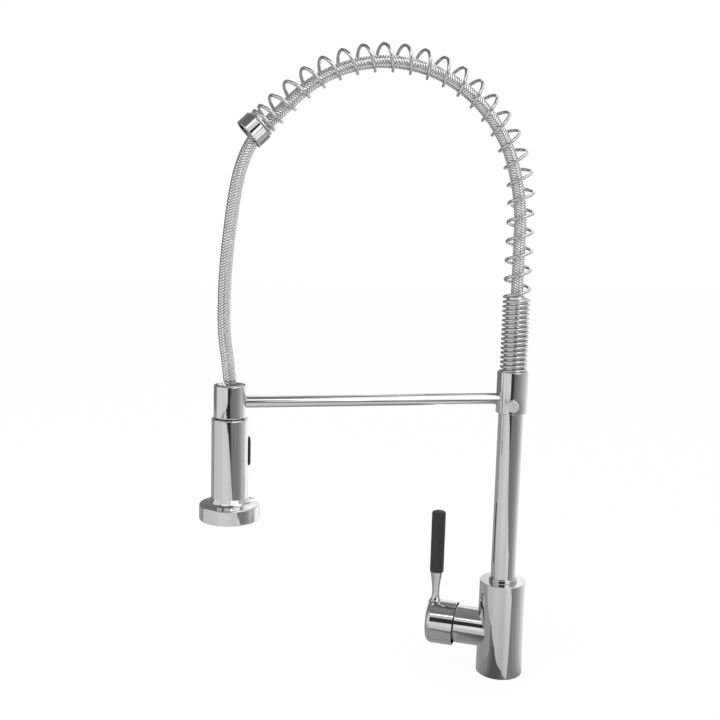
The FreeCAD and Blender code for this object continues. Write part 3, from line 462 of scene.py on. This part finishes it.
def braided_steel(finish):
    """Stainless wire in flat strands: its own colour where a strand rides over, and painted shadow where it
    dips under.

    Strands and their wires are drawn a little coarse, so that the herringbone shows.
    """
    material, tree, output = new_material("braided_stainless_wire")
    uv = add(tree, "ShaderNodeTexCoord").outputs["UV"]
    split = add(tree, "ShaderNodeSeparateXYZ", {"Vector": uv})
    turn = add(tree, "ShaderNodeMath", {0: split.outputs["Y"], 1: 2 * math.pi * 2 * STRAND_WIRES},
               operation="MULTIPLY")
    ridges = add(tree, "ShaderNodeMath", {0: turn.outputs[0]}, operation="SINE")
    bump = add(tree, "ShaderNodeBump", {"Height": ridges.outputs[0], "Distance": STRAND_WIRE_DEPTH,
                                        "Strength": 0.6})
    where = add(tree, "ShaderNodeTexCoord").outputs["Object"]
    wear = add(tree, "ShaderNodeTexNoise", {"Vector": where, "Scale": 1 / BRAID_WEAR, "Detail": 2.0})
    rough = add(tree, "ShaderNodeMapRange", {"Value": wear.outputs["Fac"], "To Min": BRAID_ROUGH[0],
                                             "To Max": BRAID_ROUGH[1]})
    lift = add(tree, "ShaderNodeAttribute", attribute_name="lift").outputs["Fac"]
    # Painted shadow: the colour darkens where the strand dips under the other set
    share = add(tree, "ShaderNodeMapRange", {"Value": lift, "From Min": BRAID_DIP_LIFTS[0],
                                             "From Max": BRAID_DIP_LIFTS[1]})
    shade = add(tree, "ShaderNodeMix", {"Factor": share.outputs["Result"],
                                        "A": (*[c * BRAID_PAINTED_SHADOW for c in finish.braid], 1),
                                        "B": (*finish.braid, 1)}, data_type="RGBA")
    surface(tree, output, shade.outputs["Result"], metallic=1.0, roughness=rough.outputs["Result"],
            normal=bump.outputs["Normal"])
    return material


def moulded(name, colour, rough, grain, depth):
    """Moulded plastic or rubber: an even colour with a fine sparked grain of a given size."""
    material, tree, output = new_material(name)
    where = add(tree, "ShaderNodeTexCoord").outputs["Object"]
    fine = add(tree, "ShaderNodeTexNoise", {"Vector": where, "Scale": 1 / grain, "Detail": 2.0})
    cloud = add(tree, "ShaderNodeTexNoise", {"Vector": where, "Scale": 1 / MOULD_CLOUD, "Detail": 2.0})
    dark, light = ((*[min(c * shade, 1) for c in colour], 1) for shade in MOULD_SHADES)
    shade = add(tree, "ShaderNodeMix", {"Factor": cloud.outputs["Fac"], "A": dark, "B": light},
                data_type="RGBA")
    gloss = add(tree, "ShaderNodeMapRange", {"Value": fine.outputs["Fac"], "To Min": rough - MOULD_GLOSS,
                                             "To Max": rough + MOULD_GLOSS})
    bump = add(tree, "ShaderNodeBump", {"Height": fine.outputs["Fac"], "Distance": depth, "Strength": 0.5})
    surface(tree, output, shade.outputs["Result"], roughness=gloss.outputs["Result"],
            normal=bump.outputs["Normal"])
    return material


def turned_metal(name, colour, rough):
    """Lathe-turned metal: satin, with rings of the tool about 2 mm apart, coarse so that they show."""
    material, tree, output = new_material(name)
    where = add(tree, "ShaderNodeTexCoord").outputs["Object"]
    rings = add(tree, "ShaderNodeTexWave", {"Vector": where, "Scale": 2 * math.pi / TURNING_MARKS / WAVE_TURN,
                                            "Distortion": 1.0}, bands_direction="Z")
    bump = add(tree, "ShaderNodeBump", {"Height": rings.outputs["Fac"], "Distance": TURNING_DEPTH,
                                        "Strength": 0.4})
    surface(tree, output, colour, metallic=1.0, roughness=rough, normal=bump.outputs["Normal"])
    return material


# Operators

class TAP_OT_hose(bpy.types.Operator):
    """Braided hose through the spring arch and down to the spray head"""
    bl_idname = "tap.hose"
    bl_label = "Braided hose"

    def execute(self, context):
        neck, finish = context.scene.tap_neck, context.scene.tap_finish
        rubber = moulded("black_rubber_hose", linear("#151516"), rough=0.7, grain=0.0008, depth=0.00002)
        materials = [braided_steel(finish), rubber]
        runs, whole = hose_runs()

        def arch(length):
            return follow(runs, HOSE_LOW, length)

        held = hose_mesh("hose_in_arch", arch, 0.0, HOSE_SHOWS - HOSE_LOW, whole, 0.0, neck, materials)
        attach(held, "spout")
        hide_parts("hose_arch")
        points = drop_line()
        line = PointLine(points)
        free = hose_mesh("hose_to_head", line, 0.0, 0.0, line.reach[-1], whole, neck, materials)
        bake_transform(free, "spout", "hose_end", start=points[0], end=points[-1])
        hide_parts("hose_drop")
        return {"FINISHED"}


class TAP_OT_spring(bpy.types.Operator):
    """Wire spring round the arch, close on the collar and open above it"""
    bl_idname = "tap.spring"
    bl_label = "Spring"

    def execute(self, context):
        neck = context.scene.tap_neck
        points = coil_points(neck.wire_diameter, (neck.spring_diameter - neck.wire_diameter) / 2)
        curve = bpy.data.curves.new("spring_line", "CURVE")
        curve.dimensions = "3D"
        curve.bevel_depth = neck.wire_diameter / 2
        curve.bevel_resolution = WIRE_ROUNDING
        curve.use_fill_caps = True
        spline = curve.splines.new("POLY")
        spline.points.add(len(points) - 1)
        for knot, point in zip(spline.points, points):
            knot.co = (*point, 1)
        carrier = bpy.data.objects.new("spring_line", curve)
        mesh = bpy.data.meshes.new_from_object(carrier)
        bpy.data.objects.remove(carrier)
        bpy.data.curves.remove(curve)
        bm = bmesh.new()
        bm.from_mesh(mesh)
        bpy.data.meshes.remove(mesh)
        bmesh.ops.remove_doubles(bm, verts=bm.verts, dist=WIRE_WELD)
        bmesh.ops.recalc_face_normals(bm, faces=bm.faces)
        for face in bm.faces:
            face.smooth = True
            face.material_index = 0
        wire = piece("neck_spring", bm, [plated_wire(context.scene.tap_finish)])
        wire.data.set_sharp_from_angle(angle=WIRE_SHARP)
        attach(wire, "spout")
        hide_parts("spring")
        return {"FINISHED"}


class TAP_OT_chrome(bpy.types.Operator):
    """Polished chrome on body, handle, riser, arm and spray head, and satin on the lock screw"""
    bl_idname = "tap.chrome"
    bl_label = "Chrome pieces"

    def execute(self, context):
        dress(CHROME_NODES, polished_chrome(context.scene.tap_finish))
        dress(SATIN_NODES, turned_metal("satin_chrome_plating", linear("#ececec"), rough=0.45))
        return {"FINISHED"}


class TAP_OT_black(bpy.types.Operator):
    """Soft grip, and the moulded black button, face, liner and plug"""
    bl_idname = "tap.black"
    bl_label = "Black pieces"

    def execute(self, context):
        finish = context.scene.tap_finish
        dress(GRIP_NODES, moulded("soft_black_grip", finish.grip, rough=0.62, grain=0.0006, depth=0.00004))
        dress(BLACK_NODES, moulded("moulded_black_abs", finish.black, rough=0.42, grain=0.0005,
                                   depth=0.00002))
        return {"FINISHED"}


class TAP_OT_inner(bpy.types.Operator):
    """Finishes of the pieces inside: steel, brass, acetal, rubber and ceramic"""
    bl_idname = "tap.inner"
    bl_label = "Inner pieces"

    def execute(self, context):
        dress(STEEL_NODES, turned_metal("turned_stainless_steel", linear("#b9babc"), rough=0.3))
        dress(BRASS_NODES, turned_metal("turned_brass", linear("#c9a255"), rough=0.3))
        dress(ACETAL_NODES, moulded("moulded_natural_acetal", linear("#dedcd4"), rough=0.45, grain=0.0006,
                                    depth=0.00002))
        dress(RUBBER_NODES, moulded("moulded_seal_rubber", linear("#2e2e30"), rough=0.7, grain=0.0007,
                                    depth=0.00003))
        dress(CERAMIC_NODES, moulded("ground_alumina", linear("#e8e6e0"), rough=0.2, grain=0.0003,
                                     depth=0.00001))
        return {"FINISHED"}


class TAP_OT_stage(bpy.types.Operator):
    """White floor, soft lamp, reflection tent and camera"""
    bl_idname = "tap.stage"
    bl_label = "Studio"

    def execute(self, context):
        scene = context.scene
        studio = scene.tap_studio
        scene.view_settings.view_transform = "Standard"
        white_world(scene)
        white_floor(studio)
        reflection_tent(studio)
        soft_lamp(studio)
        scene.camera = photo_camera()
        return {"FINISHED"}


# Studio

WORLD_LIGHT = 0.85
WORLD_WHITE = 1.0
FLOOR_HALF = 6
FLOOR_HEIGHT = -0.0006
FLOOR_GLOW = 0.94
LAMP_SIZE = 1.2
LAMP_PLACE = (0.8, -1.0, 1.6)
LAMP_AIM = (0, -0.13, 0.3)


def seen_plainly(tree):
    """1 for rays from the camera or off metal and glass, 0 for the rest."""
    path = add(tree, "ShaderNodeLightPath")
    first = add(tree, "ShaderNodeMath", {0: path.outputs["Is Camera Ray"], 1: path.outputs["Is Glossy Ray"]},
                operation="MAXIMUM")
    return add(tree, "ShaderNodeMath", {0: first.outputs[0], 1: path.outputs["Is Transmission Ray"]},
               operation="MAXIMUM").outputs[0]


def white_world(scene):
    """White all round to the eye and to metal, and a softer even light on everything else."""
    world = bpy.data.worlds.new("white_studio")
    scene.world = world
    world.use_nodes = True
    tree = world.node_tree
    tree.nodes.clear()
    level = add(tree, "ShaderNodeMapRange", {"Value": seen_plainly(tree), "To Min": WORLD_LIGHT,
                                             "To Max": WORLD_WHITE})
    light = add(tree, "ShaderNodeBackground", {"Color": (1, 1, 1, 1), "Strength": level.outputs["Result"]})
    add(tree, "ShaderNodeOutputWorld", {"Surface": light.outputs[0]})


def stage_object(name, bm, material):
    """Object of the studio, made like a piece from a finished bmesh."""
    obj = piece(name, bm, [material])
    return obj


def white_floor(studio):
    """Pale floor that stays white to the eye apart from the tap's soft shadow."""
    material, tree, output = new_material("white_floor")
    matt = add(tree, "ShaderNodeBsdfDiffuse", {"Color": (*studio.floor, 1)})
    glow = add(tree, "ShaderNodeEmission", {"Color": (*studio.floor, 1), "Strength": 1.0})
    share = add(tree, "ShaderNodeMath", {0: seen_plainly(tree), 1: FLOOR_GLOW}, operation="MULTIPLY")
    both = add(tree, "ShaderNodeMixShader", {0: share.outputs[0], 1: matt.outputs[0], 2: glow.outputs[0]})
    tree.links.new(both.outputs[0], output.inputs["Surface"])
    bm = bmesh.new()
    bmesh.ops.create_grid(bm, x_segments=1, y_segments=1, size=FLOOR_HALF,
                          matrix=Matrix.Translation((0, 0, FLOOR_HEIGHT)))
    stage_object("studio_floor", bm, material)


def only_reflected(obj):
    """Leaves an object visible to reflections alone."""
    obj.visible_camera = False
    obj.visible_diffuse = False
    obj.visible_shadow = False
    obj.visible_transmission = False
    obj.visible_volume_scatter = False


# Greys of the tent as (azimuth in degrees, grey), with azimuth 0 along +X and 90 along +Y
WALL_GREYS = ((-180, 0.25), (-112, 0.25), (-104, 0.95), (-60, 0.9), (-32, 1.0), (-30, 0.05), (-12, 0.05),
              (-6, 0.2), (10, 0.25), (35, 0.4), (60, 0.6), (95, 0.9), (135, 1.25), (175, 1.3),
              (178, 0.25), (180, 0.25))
UPPER_GREYS = ((-180, 1.2), (-178, 1.2), (-176, 0.25), (-112, 0.25), (-104, 0.95), (-60, 0.85), (-20, 1.0),
               (-2, 1.0), (4, 1.7), (26, 1.7), (40, 0.6), (60, 0.6), (95, 0.85), (135, 1.0), (163, 1.2),
               (180, 1.2))
TABLE_GREYS = ((-180, 0.42), (-125, 0.42), (-110, 0.4), (-90, 0.36), (-70, 0.28), (-50, 0.12), (-20, 0.12),
               (-8, 0.25), (25, 0.28), (50, 0.38), (75, 0.66), (105, 1.05), (135, 1.3), (174, 1.4),
               (177, 0.42), (180, 0.42))
SHEET_GREYS = ((-180, 0.79), (-110, 0.79), (-75, 0.8), (-50, 0.94), (-35, 0.92), (-20, 0.84), (-8, 0.86),
               (5, 1.05), (30, 1.08), (180, 1.0))
ROOF_GREY = 0.25
TENT_SIDES = 96
TABLE_HEIGHT = -0.0005

# Thin streaks in the tent's greys: how many, how strong, and the noise that they come from
STREAKS = 70.0
TENT_STREAK = 0.22
SHEET_STREAK = 0.04
STREAK_NOISE = (0.3, 0.7)
# Painted shade round the riser's foot: the pale sheet dims to this share towards it, between these distances
# from it
FOOT_PAINTED_SHADE = 0.75
FOOT_REACH = (0.03, 0.5)

# Sheets on the table in front of the tap: corners as (towards the camera, to its right), heights, levels
PALE_SHEET = ((0.0235, 0.009), (0.037, 0.0244), (0.161, 0.177), (0.25, 0.215), (0.45, 0.22), (0.6, 0.15),
              (0.8, 0.1), (1.0, 0.05), (1.25, -0.12), (1.5, -0.6), (0.7, -1.6), (0.03, -1.75), (0.02, -0.4),
              (0.075, -0.2), (0.112, -0.101), (0.088, -0.037), (0.044, 0.007))
PALE_HEIGHT = -0.0002
# Painted shadow of the photographer on the table round the camera's place, seen only in reflections
SHADOW_SHEET = ((0.85, 0.09), (1.0, 0.05), (1.25, -0.12), (1.5, -0.6), (1.65, -0.3), (1.65, 0.15), (1.2, 0.17))
SHADOW_SHEET_HEIGHT = -0.0003
SHADOW_SHEET_LEVEL = 0.03
# Painted shade of the handle on the table beside the tap's foot, seen only in reflections
HANDLE_SHADE_SHEET = ((0.022, -0.05), (0.06, -0.06), (0.1, -0.12), (0.07, -0.25), (-0.02, -0.25))
HANDLE_SHADE_HEIGHT = -0.0004
HANDLE_SHADE_LEVEL = 0.42

# Cards round the tap as name, azimuth, elevation, distance, width, height and level
CARDS = (
    ("black_flag", -28, 26, 1.3, 1.1, 0.5, 0.04),
    ("front_strip", -28, 52, 1.4, 1.4, 0.08, 3.2),
    ("back_strip", 152, 72, 1.5, 1.4, 0.14, 2.2),
    ("side_lamp", 55, 60, 2.1, 1.2, 1.2, 1.8),
    ("left_flag", -85, 52, 1.6, 1.2, 0.5, 0.2),
)
# Level cards under the arch as name, corner, opposite corner, height and level
ARCH_CARDS = (
    ("arch_card", (0.15, -0.04), (0.9, 0.1), 0.33, 1.2),
    ("arch_flag", (-0.35, -0.06), (-0.03, 0.06), 0.36, 0.3),
)


def banded_glow(name, greys, streak=TENT_STREAK, near=1.0):
    """Glow in greys by azimuth round the riser, with thin streaks, and with painted shade that dims it near
    the riser's foot.
    """
    material, tree, output = new_material(name)
    where = add(tree, "ShaderNodeTexCoord").outputs["Object"]
    round_it = add(tree, "ShaderNodeTexGradient", {"Vector": where}, gradient_type="RADIAL").outputs["Fac"]
    ramp = add(tree, "ShaderNodeValToRGB", {"Fac": round_it})
    stops = ramp.color_ramp.elements
    for i, (azimuth, grey) in enumerate(greys):
        place = azimuth / 360 + 0.5
        last = i == len(greys) - 1
        stop = stops[0] if i == 0 else stops[len(stops) - 1] if last else stops.new(place)
        stop.position = place
        stop.color = (grey, grey, grey, 1)
    streaks = add(tree, "ShaderNodeTexNoise", {"W": round_it, "Scale": STREAKS, "Detail": 3.0},
                  noise_dimensions="1D")
    level = add(tree, "ShaderNodeMapRange", {"Value": streaks.outputs["Fac"], "From Min": STREAK_NOISE[0],
                                             "From Max": STREAK_NOISE[1], "To Min": 1 - streak,
                                             "To Max": 1 + streak})
    # Painted shade: the glow dims towards the riser's foot
    away = add(tree, "ShaderNodeVectorMath", {0: where}, operation="LENGTH")
    dim = add(tree, "ShaderNodeMapRange", {"Value": away.outputs["Value"], "From Min": FOOT_REACH[0],
                                           "From Max": FOOT_REACH[1], "To Min": near, "To Max": 1.0})
    strength = add(tree, "ShaderNodeMath", {0: level.outputs["Result"], 1: dim.outputs["Result"]},
                   operation="MULTIPLY")
    glow = add(tree, "ShaderNodeEmission", {"Color": ramp.outputs["Color"], "Strength": strength.outputs[0]})
    tree.links.new(glow.outputs[0], output.inputs["Surface"])
    return material


def plain_glow(name, level):
    """Even white glow of a level."""
    material, tree, output = new_material(name)
    glow = add(tree, "ShaderNodeEmission", {"Color": (1, 1, 1, 1), "Strength": level})
    tree.links.new(glow.outputs[0], output.inputs["Surface"])
    return material


def card(name, azimuth, elevation, distance, width, height, level):
    """Flat card facing the tap, seen only in its metal."""
    bm = bmesh.new()
    around = Matrix.Rotation(math.radians(azimuth), 4, "Z")
    facing = around @ Matrix.Rotation(math.radians(90 - elevation), 4, "Y")
    spot = facing @ Matrix.Translation((0, 0, distance)) @ Matrix.Diagonal((height / 2, width / 2, 1, 1))
    bmesh.ops.create_grid(bm, x_segments=1, y_segments=1, size=1, matrix=spot)
    only_reflected(stage_object(name, bm, plain_glow(name, level)))


def arch_card(name, corner, opposite, height, level):
    """Level card under the arch, seen only in the metal above it."""
    bm = bmesh.new()
    size = Vector(opposite) - Vector(corner)
    middle = (Vector(opposite) + Vector(corner)) / 2
    spot = Matrix.Translation((*middle, height)) @ Matrix.Diagonal((size.x / 2, size.y / 2, 1, 1))
    bmesh.ops.create_grid(bm, x_segments=1, y_segments=1, size=1, matrix=spot)
    only_reflected(stage_object(name, bm, plain_glow(name, level)))


def tent_wall(name, low, high, radius, greys):
    """Ring of the tent's wall between two heights."""
    bm = bmesh.new()
    bmesh.ops.create_cone(bm, cap_ends=False, segments=TENT_SIDES, radius1=radius, radius2=radius,
                          depth=high - low, matrix=Matrix.Translation((0, 0, (low + high) / 2)))
    only_reflected(stage_object(name, bm, banded_glow(name, greys)))


def tent_disc(name, height, radius, material):
    """Table or roof of the tent."""
    bm = bmesh.new()
    bmesh.ops.create_circle(bm, cap_ends=True, segments=TENT_SIDES, radius=radius,
                            matrix=Matrix.Translation((0, 0, height)))
    only_reflected(stage_object(name, bm, material))


def table_sheet(name, corners, height, material):
    """Flat sheet on the table, from corners towards the camera and to its right."""
    ahead = Vector((CAMERA_PLACE[0], CAMERA_PLACE[1], 0)).normalized()
    aside = Vector((-ahead.y, ahead.x, 0))
    bm = bmesh.new()
    rim = [bm.verts.new(ahead * u + aside * w + Vector((0, 0, height))) for u, w in corners]
    edges = [bm.edges.new((a, b)) for a, b in zip(rim, rim[1:] + rim[:1])]
    bmesh.ops.triangle_fill(bm, use_beauty=True, edges=edges)
    only_reflected(stage_object(name, bm, material))


def reflection_tent(studio):
    """Tent of greys round the tap with sheets, flags and lamps in it, seen only in the tap's metal. Two of
    the sheets and the dimming at the foot are painted shade.
    """
    tent_wall("tent_wall", 0.0, studio.wall_height, studio.tent_radius, WALL_GREYS)
    tent_wall("tent_upper", studio.wall_height, studio.tent_height, studio.tent_radius, UPPER_GREYS)
    tent_disc("tent_table", TABLE_HEIGHT, studio.tent_radius, banded_glow("tent_table", TABLE_GREYS))
    tent_disc("tent_roof", studio.tent_height, studio.tent_radius, plain_glow("tent_roof", ROOF_GREY))
    pale = banded_glow("pale_sheet", SHEET_GREYS, streak=SHEET_STREAK, near=FOOT_PAINTED_SHADE)
    table_sheet("pale_sheet", PALE_SHEET, PALE_HEIGHT, pale)
    # Painted shade of the handle beside the foot
    table_sheet("painted_handle_shade", HANDLE_SHADE_SHEET, HANDLE_SHADE_HEIGHT, plain_glow("painted_handle_shade", HANDLE_SHADE_LEVEL))
    # Painted shadow round the camera's place
    table_sheet("painted_shadow_sheet", SHADOW_SHEET, SHADOW_SHEET_HEIGHT, plain_glow("painted_shadow_sheet", SHADOW_SHEET_LEVEL))
    for values in CARDS:
        card(*values)
    for values in ARCH_CARDS:
        arch_card(*values)


def soft_lamp(studio):
    """Large round lamp in front of the tap that gives its soft shadow."""
    lamp = bpy.data.lights.new("soft_lamp", "AREA")
    lamp.shape = "DISK"
    lamp.size = LAMP_SIZE
    lamp.energy = studio.lamp_power
    obj = bpy.data.objects.new("soft_lamp", lamp)
    obj.location = LAMP_PLACE
    obj.rotation_euler = (Vector(LAMP_AIM) - obj.location).to_track_quat("-Z", "Y").to_euler()
    obj.visible_glossy = False
    bpy.context.scene.collection.objects.link(obj)


def photo_camera():
    """Camera at the photograph's place, heading, pitch and roll."""
    camera = bpy.data.cameras.new("photo_camera")
    camera.sensor_width = CAMERA_SENSOR
    camera.lens = CAMERA_LENS
    camera.clip_start = CAMERA_NEAR
    obj = bpy.data.objects.new("photo_camera", camera)
    turned = (Matrix.Rotation(CAMERA_HEADING - math.pi / 2, 4, "Z")
              @ Matrix.Rotation(math.pi / 2 - CAMERA_PITCH, 4, "X") @ Matrix.Rotation(CAMERA_ROLL, 4, "Z"))
    obj.matrix_world = Matrix.Translation(CAMERA_PLACE) @ turned
    bpy.context.scene.collection.objects.link(obj)
    return obj


# Panel and registration

class TAP_PT_panel(bpy.types.Panel):
    """Sizes, colours and steps of the tap"""
    bl_idname = "TAP_PT_panel"
    bl_label = "Spring-neck tap"
    bl_space_type = "VIEW_3D"
    bl_region_type = "UI"
    bl_category = "Tap"

    def draw(self, context):
        for group in (context.scene.tap_neck, context.scene.tap_finish, context.scene.tap_studio):
            box = self.layout.box()
            for name in group.__annotations__:
                box.prop(group, name)
        for step in STEPS:
            self.layout.operator(step.bl_idname)


STEPS = (TAP_OT_stage, TAP_OT_hose, TAP_OT_spring, TAP_OT_chrome, TAP_OT_black, TAP_OT_inner)
CLASSES = (NeckSettings, FinishSettings, StudioSettings, *STEPS, TAP_PT_panel)


def register():
    """Adds the classes and their settings to Blender."""
    for cls in CLASSES:
        bpy.utils.register_class(cls)
    bpy.types.Scene.tap_neck = PointerProperty(type=NeckSettings)
    bpy.types.Scene.tap_finish = PointerProperty(type=FinishSettings)
    bpy.types.Scene.tap_studio = PointerProperty(type=StudioSettings)


def unregister():
    """Takes the settings and the classes out of Blender."""
    del bpy.types.Scene.tap_studio
    del bpy.types.Scene.tap_finish
    del bpy.types.Scene.tap_neck
    for cls in reversed(CLASSES):
        bpy.utils.unregister_class(cls)


def main():
    """Dresses the tap step by step."""
    register()
    bpy.ops.tap.stage()
    bpy.ops.tap.hose()
    bpy.ops.tap.spring()
    bpy.ops.tap.chrome()
    bpy.ops.tap.black()
    bpy.ops.tap.inner()


if __name__ == "__main__":
    main()
